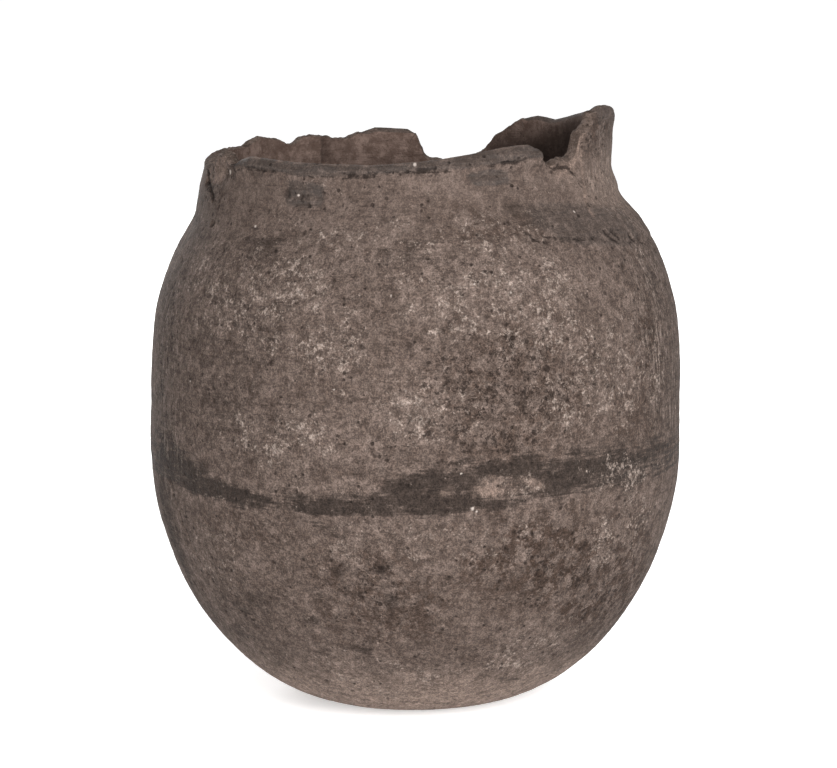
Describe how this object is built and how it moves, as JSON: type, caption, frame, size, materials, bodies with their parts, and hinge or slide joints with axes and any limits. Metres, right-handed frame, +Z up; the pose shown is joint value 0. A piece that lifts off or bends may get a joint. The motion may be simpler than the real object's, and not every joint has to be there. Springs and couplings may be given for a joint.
{
  "type": "hand-built clay jar",
  "caption": "Round coil-built clay jar with a short neck and a broken mouth that keeps strips of its folded lip.",
  "frame": {"origin": "centre of the flat foot, on the surface that the jar stands on", "axes": "+Z up through the mouth, -Y the side with the long surviving lip, +X the side with the raised sherd"},
  "size_m": [0.2288, 0.2294, 0.2554],
  "materials": {
    "bowl_clay": "matte, weathered",
    "wall_clay": "matte, weathered",
    "lip_clay": "matte, smoke-darkened"
  },
  "bodies": {
    "root": {"floor_disc": "bowl_clay", "bowl_coil_lower": "bowl_clay", "bowl_coil_middle": "bowl_clay", "bowl_coil_upper": "bowl_clay", "belly_coil": "wall_clay", "shoulder_coil_lower": "wall_clay", "shoulder_coil_middle": "wall_clay", "shoulder_coil_upper": "wall_clay", "neck_coil": "wall_clay", "mouth_coil": "wall_clay", "lip_front": "lip_clay", "lip_back": "lip_clay", "lip_right": "lip_clay"}
  },
  "joints": []
}
